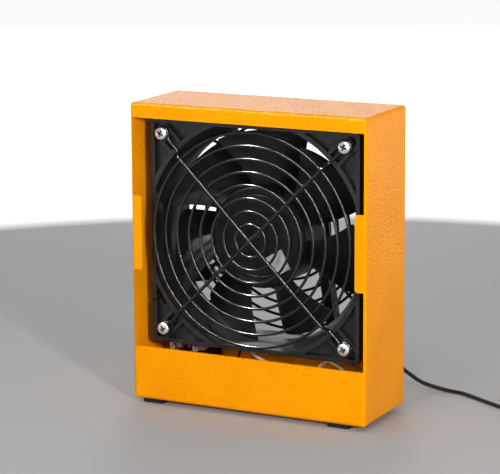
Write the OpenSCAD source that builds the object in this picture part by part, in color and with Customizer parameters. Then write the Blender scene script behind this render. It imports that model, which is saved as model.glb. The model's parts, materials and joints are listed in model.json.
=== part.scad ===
// Benchtop solder fume extractor: a folded steel housing round a 120 mm axial fan.
// The surface it stands on is z = 0, the air moves along +Y, and the intake faces -Y.

/* [Housing] */
// Width of the sheet-metal body
body_w = 135; // [132:1:145]
// Height of the sheet-metal body, without its feet
body_h = 159.4; // [158:0.2:175]
// Depth of the sheet-metal body, front face to back face
body_d = 50; // [48:1:60]
// Thickness of the sheet
sheet_t = 1.2; // [0.8:0.1:1.5]
// Outer radius of the folds
fold_r = 2; // [1.3:0.1:2.4]
// Height of the lip over the intake
lip_h = 7.8; // [6:0.1:8]
// Height of the front panel under the intake
sill_h = 28.9; // [26:0.1:30]
// Width of a side tab, from the outer face of the side
tab_w = 6.1; // [5:0.1:6.5]
// Height of a side tab
tab_h = 40; // [20:1:60]
// Width of the rear flange that the back panel screws to
flange_w = 6.8; // [6.6:0.1:7]

/* [Feet] */
// Side of a square foot pad
foot_w = 12; // [8:0.5:13]
// Thickness of a foot pad
foot_t = 2.6; // [1.5:0.1:3]
// How far the pads sit in from the front and back faces
foot_inset = 3; // [2:0.5:6]
// Places of the left and right pads across the body
foot_x = [-57.5, 51]; // [-60:0.5:60]

/* [Fan] */
// Side of the square fan frame
fan_w = 120; // [119:0.5:120]
// Depth of the fan frame
fan_d = 38; // [38:0.5:40]
// Distance between the fan's mounting holes
fan_pitch = 105; // [104:0.5:106]
// Height of the fan's axis over the bottom of the body
fan_h = 90.4; // [90:0.1:92]
// Radius of the throat that the blades turn in
throat_r = 57.3; // [57:0.1:58]
// Radius of the blade tips
tip_r = 55.5; // [54:0.1:56.3]
// Number of blades
blades = 7; // [5:1:9]
// Radius of the rotor hub
hub_r = 27; // [26:0.5:28]

/* [Finger guards] */
// Diameter of the ring wire
ring_d = 1.6; // [1.2:0.1:1.8]
// Diameter of the two crossed wires
spoke_d = 1.8; // [1.6:0.1:2]
// Number of rings
rings = 8; // [5:1:9]
// Mean radius of the smallest ring
ring_r0 = 8.6; // [6:0.1:10]
// Distance between rings
ring_pitch = 6.85; // [6:0.05:7]

/* [Rocker switch] */
// Place of the switch across the body
switch_x = -50; // [-52:0.5:-48]
// Height of the switch and the lead outlet over the bottom of the body
switch_h = 18.4; // [17:0.1:20]
// Full swing of the rocker in degrees
rocker_swing = 20; // [14:1:24]

/* [Power lead] */
// Place of the lead outlet across the body
outlet_x = 50; // [48:0.5:52]
// Diameter of the lead
lead_d = 2.2; // [1.8:0.1:3]
// Length of the strain relief outside the body
relief_l = 20; // [16:1:26]
// Mean radius of the coiled lead
coil_r = 12.5; // [11:0.5:14]

/* [Hidden] */
$fn = 48;
eps = 0.01;

// Rocker, in the plane across its pin: u along X from the pin, v outwards along +Y.
pin_v = -1;
pin_r = 1;
rocker_half = 7.4;
rocker_rise = 2.9 + rocker_half * tan(rocker_swing / 2);
rocker_dip = 2.9;
rocker_foot = -3;
rocker_w = 10.4;
bezel_t = 2;
rear_out = pin_v + rocker_half * sin(rocker_swing / 2) + rocker_rise * cos(rocker_swing / 2);

// Planes of the body. The middle of its depth, with the rocker, is at y = 0.
base_z = foot_t;
front_y = -(body_d + rear_out) / 2;
back_y = front_y + body_d;
panel_y = back_y - sheet_t;
fan_back_y = panel_y - spoke_d;
fan_front_y = fan_back_y - fan_d;
axis_z = base_z + fan_h;
inner_x = body_w / 2 - sheet_t;
gap = 0.1;

// Fan frame, measured from its rear face towards its front face.
wall_t = 2.2;
mouth_r = 62;
rear_mouth_r = 65.6;
mouth_ring = 2.5;
mouth_depth = 16;
plate_t = 5.5;
pocket_depth = 3;
boss_r = 4.6;
boss_hole_r = 2.15;
rib_in = 2.9;
rib_out = 4.7;
strut_turn = 9;
strut_off = 22;
strut_w = 5.2;
strut_h = 7.5;
channel_off = [17.2, 21.4];
channel_w = 1.6;
channel_h = 5;
base_t = 3;
tube_r = 5.6;
bearing_r = 4;

// Rotor, measured the same way.
hub_z = 33;
hub_skirt_z = 9;
hub_round = 1.5;
yoke_r = 24;
yoke_t = 1;
magnet_t = 2.4;
stator_r = 20;
shaft_r = 1.5;
shaft_clearance = 0.04;
blade_edge = 1.3;
chord_r = 56;
blade_stations = 6;
chord_steps = 9;

// Guards, measured outwards from the face that they are screwed to.
ring_z = 3.4;
spoke_z = ring_z + (ring_d + spoke_d) / 2 - 0.2;
knee_r = 58;
foot_r = 61;
eyelet_r = 3.2;
corner_r = fan_pitch / sqrt(2);
window_r = 66.8;
window_side = 125;

// Fasteners.
head_r = 3.3;
head_h = 2.2;
screw_r = 1.9;
screw_l = 12;
panel_screw_x = body_w / 2 - 4.1;
panel_screw_h = [8.4, 150.4];

// Switch and lead outlet.
switch_z = base_z + switch_h;
switch_w = 18.6;
switch_tall = 12.6;
switch_deep = 14;
terminal_gap = 7;
terminal_up = 5.2;
lead_r = lead_d / 2;

// Route of the lead from inside the strain relief to the coil's outer turn.
LEAD = [
    [50, 34, 21], [50, 42.5, 21], [50.5, 48.5, 19.5], [51.5, 52.5, 16.5], [53.5, 55, 12.5],
    [57, 57.5, 9], [62, 60, 5], [69.5, 62.5, 2.2], [78.5, 62.5, 1.1], [87, 60.5, 1.1],
    [99, 53.5, 1.1], [113.5, 45, 1.1], [122, 40, 1.1], [131, 34.8, 1.1]
];
coil_at = [138.4, 47.5];
coil_columns = 3;
coil_layers = 4;
// Route of the lead from the coil's top turn to the plug.
TAIL = [
    [138.4, 32.8, 7.7], [143, 32.9, 7.4], [148, 33.4, 6.6], [153, 35, 5.6], [157.3, 38, 5],
    [159.6, 42.5, 4.8], [160, 46.5, 4.8]
];
plug_r = 4.8;
plug_x = 160;
plug_y = 44;

// Loose wires inside the body.
WHITE = [
    [-14, -2.2, 34], [-11, -2.2, 29.8], [-6.6, -2.2, 26.1], [-2, -2.2, 24.2], [4, -1.5, 20.5],
    [10, -0.2, 18], [22, 1.8, 19], [30, 0.8, 25], [35.5, -2.2, 28], [40.3, -2.2, 26.6],
    [44.1, -2.2, 24.4], [48, 0, 20], [50, 3, 15], [49, 6, 10], [45, 8, 7.5]
];
BLACK = [
    [-18, 3, 34], [-18.5, 3.4, 30], [-20, 4, 24], [-24, 4, 17], [-30, 3, 13], [-36, 0, 12],
    [-41, -3, 15], [-43, -4, 19.2], [-43, -3, 23], [-43, 0.5, 26.2]
];
RED = [
    [50, 19, 21], [50, 14, 20], [47, 6, 15], [38, 2, 7.5], [15, -2, 5.5], [-20, -4, 5.5],
    [-45, -7, 7], [-56, -7.5, 14], [-57, -5, 20], [-57, -3, 23.5], [-57, 0.5, 26.2]
];
NEUTRAL = [
    [50.9, 19, 21], [51, 15, 20.5], [51.5, 11, 16], [51, 9, 11], [48.5, 8.4, 8], [45, 8.6, 7.2]
];
wire_r = 0.7;
// Route of the motor's cable from the driver board to the frame, on the fan's axis.
CABLE = [
    [-14.2, -13.4, 6.4], [-18, -15.6, 6.4], [-25, -18, 6.4], [-32, -19.6, 6.4], [-37.5, -21.6, 6.4],
    [-41, -24.6, 6.4], [-45.5, -27.6, 6.4], [-53.7, -31.5, 6.4]
];
cable_r = 1;

// ---------------------------------------------------------------- shared shapes

// Local z points out of the front of the fan, from its rear face.
module on_axis(y = fan_back_y) {
    translate([0, y, axis_z]) rotate([90, 0, 0]) children();
}

// Local z points out of the back of the body.
module on_back(x, y, z) {
    translate([x, y, z]) rotate([-90, 0, 0]) children();
}

module at_corners(half = fan_pitch / 2) {
    for (sx = [-1, 1], sy = [-1, 1]) translate([sx * half, sy * half, 0]) children();
}

module block(w, d, h) {
    translate([-w / 2, -d / 2, 0]) cube([w, d, h]);
}

module rounded_plate(w, d, h, r) {
    linear_extrude(height = h) rounded_square(w, d, r);
}

module rounded_square(w, d, r) {
    square([w - 2 * r, d], center = true);
    square([w, d - 2 * r], center = true);
    for (sx = [-1, 1], sy = [-1, 1]) {
        translate([sx * (w / 2 - r), sy * (d / 2 - r)]) circle(r = r);
    }
}

module ring_solid(outer, inner, h) {
    difference() {
        cylinder(r = outer, h = h);
        translate([0, 0, -eps]) cylinder(r = inner, h = h + 2 * eps);
    }
}

// A straight round wire between two points, with a ball at its far end.
module wire(a, b, r) {
    v = b - a;
    l = norm(v);
    turn = atan2(v[1], v[0]);
    tilt = acos(v[2] / l);
    translate(a) rotate([0, tilt, turn]) cylinder(r = r, h = l);
    translate(b) sphere(r = r);
}

// A closed skin over rings of points, with an even number of points in each.
module skin(loops) {
    n = len(loops[0]);
    m = len(loops);
    side = [
        for (i = [0 : m - 2], j = [0 : n - 1])
            let (a = i * n + j, b = i * n + (j + 1) % n)
            each [[a, b, b + n], [a, b + n, a + n]]
    ];
    end = (m - 1) * n;
    caps = [
        for (k = [0 : n / 2 - 2])
            each [
                [k + 1, k, n - 1 - k], [k + 1, n - 1 - k, n - 2 - k],
                [end + k, end + k + 1, end + n - 2 - k], [end + k, end + n - 2 - k, end + n - 1 - k]
            ]
    ];
    polyhedron(points = [for (r = loops) each r], faces = concat(side, caps));
}

function unit(v) = v / norm(v);

// Catmull-Rom point between p[1] and p[2].
function spline_point(p, t) =
    0.5 * (2 * p[1] + t * (p[2] - p[0]) + t * t * (2 * p[0] - 5 * p[1] + 4 * p[2] - p[3])
    + t * t * t * (3 * p[1] - p[0] - 3 * p[2] + p[3]));

// A smooth line through a route, with steps points to each stretch.
function smooth(route, steps) =
    let (last = len(route) - 1)
    concat([
        for (i = [0 : last - 1], s = [0 : steps - 1])
            spline_point([route[max(i - 1, 0)], route[i], route[i + 1],
                route[min(i + 2, last)]], s / steps)
    ], [route[last]]);

// A round tube swept along a route.
module tube(route, r, steps = 3, sides = 8) {
    line = smooth(route, steps);
    last = len(line) - 1;
    skin([
        for (i = [0 : last])
            let (
                t = unit(line[min(i + 1, last)] - line[max(i - 1, 0)]),
                across = unit(cross(t, abs(t[2]) > 0.9 ? [1, 0, 0] : [0, 0, 1])),
                up = cross(across, t)
            )
            [for (k = [0 : sides - 1])
                line[i] + r * (cos(k * 360 / sides) * across + sin(k * 360 / sides) * up)]
    ]);
}

// ---------------------------------------------------------------- housing

module fold_profile(w, h) {
    rounded_square(w, h, fold_r);
}

// The outer form of the body: folds along every front edge and round the four long corners.
module body_form(grow) {
    w = body_w + 2 * grow;
    h = body_h + 2 * grow;
    mid_z = base_z + body_h / 2;
    front = front_y - grow;
    depth = body_d + 20;
    intersection() {
        translate([0, front + depth / 2, mid_z]) rotate([90, 0, 0])
            translate([0, 0, -depth / 2]) linear_extrude(height = depth) fold_profile(w, h);
        translate([-w / 2, front + depth / 2, mid_z]) rotate([90, 0, 90])
            linear_extrude(height = w) fold_profile(depth, h);
        translate([0, front + depth / 2, mid_z - h / 2])
            linear_extrude(height = h) fold_profile(w, depth);
    }
}

module housing_shell() {
    color("orange") difference() {
        intersection() {
            body_form(0);
            translate([-body_w, front_y - 1, 0]) cube([2 * body_w, body_d + 1, 2 * body_h]);
        }
        // hollow, with flanges left at the back for the panel
        translate([-inner_x, front_y + sheet_t, base_z + sheet_t])
            cube([2 * inner_x, body_d - 3 * sheet_t, body_h - 2 * sheet_t]);
        translate([-(body_w / 2 - flange_w), front_y + sheet_t, base_z + sheet_t])
            cube([body_w - 2 * flange_w, body_d, body_h - 2 * sheet_t]);
        translate([-inner_x, panel_y, base_z + sheet_t])
            cube([2 * inner_x, body_d, body_h - 2 * sheet_t]);
        intake_cut();
        for (sx = [-1, 1], h = panel_screw_h)
            on_back(sx * panel_screw_x, panel_y - 5, base_z + h) cylinder(r = 1.5, h = 10);
    }
}

// The intake leaves the lip, the front panel and one tab on each side.
module intake_cut() {
    low = base_z + sill_h;
    high = base_z + body_h - lip_h;
    mid = axis_z;
    difference() {
        translate([-inner_x, front_y - 1, low]) cube([2 * inner_x, sheet_t + 2, high - low]);
        for (sx = [-1, 1])
            translate([sx * body_w / 2, front_y + 3, mid]) rotate([90, 0, 0])
                rounded_plate(2 * tab_w, tab_h, 5, 1.5);
    }
}

module back_panel() {
    w = 2 * (inner_x - gap);
    h = body_h - 2 * sheet_t - 2 * gap;
    color("orange") difference() {
        translate([-w / 2, panel_y, base_z + sheet_t + gap]) cube([w, sheet_t, h]);
        on_axis(back_y + 1) intersection() {
            cylinder(r = window_r, h = sheet_t + 2, $fn = 96);
            block(window_side, window_side, sheet_t + 2);
        }
        on_axis(back_y + 1) at_corners() cylinder(r = 2.2, h = sheet_t + 2);
        for (sx = [-1, 1], hole_h = panel_screw_h)
            on_back(sx * panel_screw_x, panel_y - 1, base_z + hole_h)
                cylinder(r = 1.6, h = sheet_t + 2);
        translate([switch_x, panel_y - 1, switch_z]) rotate([-90, 0, 0])
            block(switch_w + 0.2, switch_tall + 0.2, sheet_t + 2);
        on_back(outlet_x, panel_y - 1, switch_z) cylinder(r = 3.1, h = sheet_t + 2);
    }
}

// A pan-head screw with a cross recess. Its head stands on z = 0.
module pan_screw(r, length, head, height) {
    difference() {
        intersection() {
            cylinder(r = head, h = height);
            translate([0, 0, height - 2.2 * head]) sphere(r = 2.2 * head);
        }
        for (a = [0, 90]) rotate([0, 0, a]) translate([0, 0, height - 1.1])
            block(0.3 * head, 1.25 * head, 2);
    }
    translate([0, 0, -length]) cylinder(r = r, h = length + eps);
    translate([0, 0, -length - 0.8 * r]) cylinder(r1 = 0.4 * r, r2 = r, h = 0.8 * r + eps);
}

module panel_screws() {
    color("silver") for (sx = [-1, 1], h = panel_screw_h)
        on_back(sx * panel_screw_x, back_y, base_z + h) pan_screw(1.4, 5, 2.7, 1.8);
}

module rubber_feet() {
    color([0.08, 0.08, 0.08])
        for (x = foot_x, y = [front_y + foot_inset, back_y - foot_inset - foot_w])
            translate([x, y + foot_w / 2, 0]) rounded_plate(foot_w, foot_w, foot_t, 0.6);
}

// ---------------------------------------------------------------- finger guards

module guard_rings() {
    for (i = [0 : rings - 1]) translate([0, 0, ring_z])
        rotate_extrude($fn = 96) translate([ring_r0 + i * ring_pitch, 0]) circle(d = ring_d, $fn = 24);
}

// Two crossed wires that step down at the corners to an eyelet under each screw.
module guard_spokes() {
    r = spoke_d / 2;
    for (a = [45 : 90 : 315]) rotate([0, 0, a]) {
        wire([-eps, 0, spoke_z], [knee_r, 0, spoke_z], r);
        wire([knee_r, 0, spoke_z], [foot_r, 0, r], r);
        wire([foot_r, 0, r], [corner_r - eyelet_r, 0, r], r);
        translate([corner_r, 0, r]) rotate_extrude() translate([eyelet_r, 0]) circle(r = r, $fn = 24);
    }
}

module front_guard_rings() { color([0.1, 0.1, 0.1]) on_axis(fan_front_y) guard_rings(); }
module front_guard_spokes() { color([0.1, 0.1, 0.1]) on_axis(fan_front_y) guard_spokes(); }
module rear_guard_rings() { color([0.1, 0.1, 0.1]) on_back(0, fan_back_y, axis_z) guard_rings(); }
module rear_guard_spokes() { color([0.1, 0.1, 0.1]) on_back(0, fan_back_y, axis_z) guard_spokes(); }

module front_guard_screws() {
    color("silver") on_axis(fan_front_y - spoke_d) at_corners()
        pan_screw(screw_r, screw_l, head_r, head_h);
}

module rear_guard_screws() {
    color("silver") on_back(0, back_y, axis_z) at_corners()
        pan_screw(screw_r, screw_l, head_r, head_h);
}

// ---------------------------------------------------------------- fan frame

// Radius of the bore at a distance from the nearer face.
function bore_r(d, mouth) = throat_r + (mouth - throat_r) * pow(1 - d / mouth_depth, 1.5);

// The bore, wider at both mouths and cut flat where it meets the side walls.
module air_bore() {
    intersection() {
        rotate_extrude($fn = 96) polygon(concat(
            [[0, fan_d + 1], [0, -1], [rear_mouth_r, -1]],
            [for (d = [0 : 2 : mouth_depth]) [bore_r(d, rear_mouth_r), d]],
            [for (d = [mouth_depth : -2 : 0]) [bore_r(d, mouth_r), fan_d - d]],
            [[mouth_r, fan_d + 1]]
        ));
        translate([0, 0, -2]) block(fan_w - 2 * wall_t, fan_w - 2 * wall_t, fan_d + 4);
    }
}

// The square plate at one end of the frame, with ribs and pockets in its corners.
module end_plate(mouth) {
    difference() {
        rounded_plate(fan_w, fan_w, plate_t, 3);
        translate([0, 0, plate_t - pocket_depth]) difference() {
            block(fan_w - 2 * wall_t, fan_w - 2 * wall_t, pocket_depth + 1);
            translate([0, 0, -1]) cylinder(r = mouth + mouth_ring, h = pocket_depth + 3, $fn = 96);
            for (a = [45, 135], s = [-1, 1]) rotate([0, 0, a])
                translate([0, s * (rib_in + rib_out) / 2, -1])
                    block(2 * fan_w, rib_out - rib_in, pocket_depth + 3);
            at_corners() translate([0, 0, -1]) cylinder(r = boss_r, h = pocket_depth + 3);
        }
    }
}

module fan_frame() {
    color([0.11, 0.1, 0.1]) on_axis() {
        difference() {
            union() {
                translate([0, 0, fan_d - plate_t]) end_plate(mouth_r);
                translate([0, 0, plate_t]) mirror([0, 0, 1]) end_plate(rear_mouth_r);
                intersection() {
                    union() {
                        cylinder(r = fan_w / 2 + 0.2, h = fan_d, $fn = 96);
                        duct_end(rear_mouth_r + 1, 5.2);
                        translate([0, 0, fan_d]) mirror([0, 0, 1]) duct_end(mouth_r, 5);
                    }
                    block(fan_w, fan_w, fan_d);
                }
                at_corners() cylinder(r = boss_r, h = fan_d);
            }
            air_bore();
            at_corners() translate([0, 0, -1]) cylinder(r = boss_hole_r, h = fan_d + 2);
            for (z = [-1, fan_d - 8]) translate([0, 0, z]) wire_exit(9);
        }
        motor_base();
    }
}

// The duct's wall is thicker behind each end plate, where the bore opens.
module duct_end(r, h) {
    translate([0, 0, plate_t - 0.5]) cylinder(r1 = r, r2 = fan_w / 2 + 0.2, h = h, $fn = 96);
}

// The opening in the left wall that the motor's cable leaves by.
module wire_exit(h) {
    linear_extrude(height = h) polygon([
        [-57.6, -29.5], [-57.6, -37.6], [-56.1, -38], [-55.1, -40.2], [-52.9, -39.9], [-52.5, -37.2]
    ]);
    translate([-fan_w / 2 - 1, -38.3, 0]) cube([3.6, 1.1, h]);
}

// A straight bar whose line passes off from the axis, from the motor base out to the frame.
module strut_bar(off, w, h) {
    start = sqrt(pow(hub_r - 2.5, 2) - pow(off - w / 2, 2));
    reach = sqrt(pow(throat_r, 2) - pow(off, 2)) + 5.5;
    translate([off - w / 2, -reach, 0]) cube([w, reach - start, h]);
}

// Three solid struts and one open channel of two bars, which carries the motor's cable.
module motor_base() {
    difference() {
        union() {
            cylinder(r = hub_r, h = base_t);
            cylinder(r = tube_r, h = 26);
            for (a = [0 : 90 : 180]) rotate([0, 0, a + strut_turn])
                strut_bar(strut_off, strut_w, strut_h);
            rotate([0, 0, strut_turn - 90]) for (off = channel_off)
                strut_bar(off, channel_w, channel_h);
        }
        translate([0, 0, 0.8]) cylinder(r = bearing_r, h = 30);
    }
}

// ---------------------------------------------------------------- motor

module stator_core() {
    color([0.55, 0.55, 0.57]) on_axis() translate([0, 0, 12]) difference() {
        union() {
            ring_solid(9, tube_r, 10);
            for (a = [0 : 90 : 270]) rotate([0, 0, a]) {
                translate([0, -2.5, 0]) cube([17.5, 5, 10]);
                intersection() {
                    ring_solid(stator_r, 17, 10);
                    translate([0, -11, 0]) cube([30, 22, 10]);
                }
            }
        }
        translate([0, 0, -1]) cylinder(r = tube_r, h = 12);
    }
}

module stator_bobbin() {
    color([0.9, 0.88, 0.8]) on_axis() for (z = [11.2, 22]) translate([0, 0, z]) difference() {
        union() {
            ring_solid(10, tube_r + 0.4, 0.8);
            for (a = [0 : 90 : 270]) rotate([0, 0, a]) translate([9, -3.4, 0]) cube([8, 6.8, 0.8]);
        }
        translate([0, 0, -1]) cylinder(r = tube_r + 0.4, h = 3);
    }
}

// One coil round each of the four pole necks.
module stator_windings() {
    color([0.72, 0.4, 0.2]) on_axis() for (a = [0 : 90 : 270]) rotate([0, 0, a])
        translate([10.5, 0, 17]) rotate([0, 90, 0]) difference() {
            rounded_plate(14.4, 9.6, 5.5, 1.8);
            translate([0, 0, -1]) block(11.8, 6.9, 8);
        }
}

module driver_board() {
    color([0.1, 0.35, 0.2]) on_axis() translate([0, 0, 5.6]) ring_solid(20, 6.2, 1.6);
}

module board_components() {
    color([0.12, 0.12, 0.12]) on_axis() translate([0, 0, 7.2]) {
        translate([12, 0, 0]) block(4, 5, 1.5);
        translate([-12, 4, 0]) block(3, 3, 1.2);
        translate([-10, -9, 0]) block(3.2, 1.6, 1);
        translate([10, 10, 0]) cylinder(r = 2, h = 2.6);
        translate([9, -10, 0]) block(4, 3, 1.6);
    }
}

module motor_cable() { color([0.08, 0.08, 0.08]) on_axis() tube(CABLE, cable_r); }

module bearing(z) {
    color([0.75, 0.75, 0.77]) on_axis() translate([0, 0, z])
        ring_solid(bearing_r, shaft_r + shaft_clearance, 4);
}

module front_bearing() { bearing(21.5); }
module rear_bearing() { bearing(3.5); }

module motor_label() {
    color([0.75, 0.75, 0.76]) on_axis(fan_back_y + 0.2) cylinder(r = 22, h = 0.2);
}

// ---------------------------------------------------------------- rotor

function chord_at(r) =
    let (s = (r - hub_r) / (chord_r - hub_r))
    [-1 + 14.5 * s, -39.8 + 6.8 * s, 27 + 5.5 * s, 12];

// A point on one face of a blade: t runs from its leading to its trailing edge.
function blade_point(r, t, side) =
    let (
        c = chord_at(r),
        bow = t + 0.22 * t * (t - 1) * 1.6,
        turn = c[0] + (c[1] - c[0]) * t,
        z = c[2] + (c[3] - c[2]) * bow,
        slope = atan2((c[2] - c[3]) * (1 + 0.352 * (2 * t - 1)), (c[0] - c[1]) * r * PI / 180),
        thick = blade_edge * (0.25 + 0.75 * sqrt(max(0, 1 - pow(2 * t - 1, 4)))) / 2,
        shift = -side * thick * sin(slope) / r * 180 / PI
    )
    [r * cos(turn + shift), r * sin(turn + shift), z + side * thick * cos(slope)];

module blade() {
    skin([
        for (i = [0 : blade_stations])
            let (r = hub_r - 1 + (tip_r - hub_r + 1) * i / blade_stations)
            concat(
                [for (j = [0 : chord_steps]) blade_point(r, j / chord_steps, -1)],
                [for (j = [chord_steps : -1 : 0]) blade_point(r, j / chord_steps, 1)]
            )
    ]);
}

module impeller() {
    color([0.13, 0.13, 0.13]) on_axis() {
        difference() {
            union() {
                translate([0, 0, hub_skirt_z]) cylinder(r = hub_r, h = hub_z - hub_skirt_z - hub_round);
                translate([0, 0, hub_z - hub_round - eps])
                    cylinder(r1 = hub_r, r2 = hub_r - hub_round, h = hub_round + eps);
            }
            translate([0, 0, hub_skirt_z - 1]) cylinder(r = yoke_r, h = 31 - hub_skirt_z + 1);
        }
        for (k = [0 : blades - 1]) rotate([0, 0, k * 360 / blades]) blade();
    }
}

module hub_sticker() {
    color([0.85, 0.85, 0.85]) on_axis() translate([0, 0, hub_z]) linear_extrude(height = 0.2)
        polygon([[3.9, -10.6], [12, -18.6], [18.9, -14.7], [13.5, -4.8]]);
}

module rotor_yoke() {
    color([0.4, 0.4, 0.42]) on_axis() difference() {
        translate([0, 0, 9.5]) cylinder(r = yoke_r - 0.01, h = 21.49);
        translate([0, 0, 8]) cylinder(r = yoke_r - yoke_t, h = 31 - 8 - yoke_t);
        translate([0, 0, 20]) cylinder(r = shaft_r, h = 20);
    }
    color([0.4, 0.4, 0.42]) on_axis() translate([0, 0, 27]) ring_solid(4, shaft_r, 3.1);
}

module rotor_magnet() {
    color([0.25, 0.24, 0.23]) on_axis() translate([0, 0, 10])
        ring_solid(yoke_r - yoke_t, yoke_r - yoke_t - magnet_t, 15);
}

module rotor_shaft() {
    color([0.8, 0.8, 0.82]) on_axis() difference() {
        translate([0, 0, 1.6]) cylinder(r = shaft_r, h = 29.2);
        translate([0, 0, 2.4]) ring_solid(shaft_r + 1, shaft_r - 0.4, 0.5);
    }
}

module shaft_clip() {
    color([0.6, 0.6, 0.62]) on_axis() translate([0, 0, 2.45]) difference() {
        cylinder(r = 3, h = 0.4);
        translate([0, 0, -1]) cylinder(r = shaft_r - 0.4, h = 3);
        translate([0, -0.8, -1]) cube([4, 1.6, 3]);
    }
}

// The spring lies in the bearing tube under the yoke's boss.
module preload_spring() {
    color([0.7, 0.7, 0.7]) on_axis() translate([0, 0, 25.9]) ring_solid(3.2, 2.2, 1.1);
}

// ---------------------------------------------------------------- switch

module switch_frame() {
    on_back(switch_x, back_y, switch_z) children();
}

module switch_body() {
    color([0.07, 0.07, 0.07]) switch_frame() difference() {
        union() {
            rounded_plate(21, 15, bezel_t, 1);
            translate([0, 0, -switch_deep]) block(switch_w, switch_tall, switch_deep + eps);
            // spring wings that hold the body in the panel
            for (s = [-1, 1]) translate([s * (switch_w / 2 + 0.4), 0, -sheet_t - 3]) block(1.2, 5, 2.8);
        }
        translate([0, 0, -6.5]) block(2 * rocker_half + 2, rocker_w + 0.5, 12);
        translate([0, 0, pin_v]) rotate([90, 0, 0])
            translate([0, 0, -6]) cylinder(r = pin_r + 0.05, h = 12);
    }
}

// The rocker rests with its left side in.
module switch_rocker() {
    color([0.1, 0.1, 0.1]) translate([switch_x, back_y + pin_v, switch_z])
        rotate([0, 0, rocker_swing / 2]) {
            translate([0, 0, -rocker_w / 2]) linear_extrude(height = rocker_w) polygon([
                [-rocker_half, rocker_foot], [-rocker_half, rocker_rise], [0, rocker_dip],
                [rocker_half, rocker_rise], [rocker_half, rocker_foot], [3, -4], [-3, -4]
            ]);
            translate([0, 0, -5.9]) cylinder(r = pin_r, h = 11.8);
        }
}

module switch_terminals() {
    color([0.85, 0.85, 0.83]) switch_frame() for (s = [-1, 1])
        translate([s * terminal_gap, -terminal_up, -switch_deep - 7])
            difference() {
                block(4.8, 0.8, 8.5);
                translate([0, 2, 2.5]) rotate([90, 0, 0]) cylinder(r = 0.8, h = 4);
            }
}

// Brass studs of the contacts, with domed ends.
module switch_rivets() {
    stud_l = 4.2;
    color([0.8, 0.6, 0.25]) switch_frame() for (p = [[-0.8, -4.4], [2, -3.2], [0.8, -1]])
        translate([p[0], p[1], -switch_deep - stud_l]) intersection() {
            cylinder(r = 1.2, h = stud_l + 0.5);
            translate([0, 0, 7]) sphere(r = 7);
        }
}

// Push-on sleeves over the terminals, crimped on the wires.
module spade_connectors() {
    color([0.8, 0.8, 0.78]) switch_frame() for (s = [-1, 1])
        translate([s * terminal_gap, -terminal_up, -switch_deep - 8.4]) difference() {
            union() {
                block(7, 2.2, 7);
                translate([0, 0, -3.6]) cylinder(r = 1.5, h = 4);
            }
            translate([0, 0, 1]) block(5.2, 1.2, 8);
            translate([0, 0, -4]) cylinder(r = wire_r + 0.05, h = 4.5);
        }
}

// ---------------------------------------------------------------- wires inside

module fan_lead_white() { color([0.95, 0.94, 0.92]) tube(WHITE, wire_r); }
module fan_lead_black() { color([0.1, 0.1, 0.1]) tube(BLACK, wire_r); }
module feed_wire_red() { color([0.7, 0.1, 0.08]) tube(RED, wire_r); }
module feed_wire_black() { color([0.1, 0.1, 0.1]) tube(NEUTRAL, wire_r); }

// A crimped cap over the two twisted wire ends.
module splice_cap() {
    color([0.92, 0.92, 0.88]) translate([46.5, 8.3, 7.3]) rotate([0, -95, 0]) {
        cylinder(r = 2.6, h = 9);
        translate([0, 0, 9 - eps]) cylinder(r1 = 2.6, r2 = 1.8, h = 2);
    }
}

// ---------------------------------------------------------------- power lead

module strain_relief() {
    color([0.08, 0.08, 0.08]) on_back(outlet_x, back_y, switch_z) {
        translate([0, 0, -sheet_t - eps]) cylinder(r = 2.95, h = sheet_t + 0.1);
        translate([0, 0, -sheet_t - 2.5]) cylinder(r1 = 3.6, r2 = 4.4, h = 2.5);
        cylinder(r = 4.6, h = 1.8);
        translate([0, 0, 1.8 - eps])
            cylinder(r1 = 3.4, r2 = lead_r + 0.5, h = relief_l - 1.8);
    }
}

module power_lead() { color([0.07, 0.07, 0.07]) tube(LEAD, lead_r, 2); }

module lead_coil() {
    half_w = coil_columns * lead_d / 2;
    high = coil_layers * lead_d;
    color([0.07, 0.07, 0.07]) translate([coil_at[0], coil_at[1], 0]) rotate_extrude()
        translate([coil_r, high / 2]) rounded_square(2 * half_w, high, lead_r);
}

module coil_tie() {
    half_w = coil_columns * lead_d / 2;
    high = coil_layers * lead_d;
    color([0.15, 0.15, 0.15]) translate([coil_at[0], coil_at[1] + coil_r, 0])
        translate([1.5, 0, high / 2 + 0.35]) rotate([90, 0, -90]) difference() {
            rounded_plate(2 * half_w + 1.4, high + 0.7, 3, 1.5);
            translate([0, 0, -1]) rounded_plate(2 * half_w + 0.02, high - 0.7 + 0.02, 5, 1.1);
        }
}

module lead_tail() { color([0.07, 0.07, 0.07]) tube(TAIL, lead_r, 2); }

module plug_frame() {
    translate([plug_x, plug_y, plug_r]) rotate([-90, 0, 0]) children();
}

module plug_body() {
    color([0.07, 0.07, 0.07]) plug_frame() {
        cylinder(r1 = lead_r + 0.5, r2 = 3, h = 9);
        translate([0, 0, 9 - eps]) cylinder(r1 = 3.6, r2 = plug_r, h = 2);
        translate([0, 0, 11 - eps]) cylinder(r = plug_r, h = 14);
    }
}

module plug_barrel() {
    color([0.8, 0.8, 0.8]) plug_frame() translate([0, 0, 25]) ring_solid(2.75, 2, 9.5);
}

module plug_insulator() {
    color([0.1, 0.1, 0.1]) plug_frame() translate([0, 0, 25]) ring_solid(2, 1.25, 9.2);
}

// ---------------------------------------------------------------- parts

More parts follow.
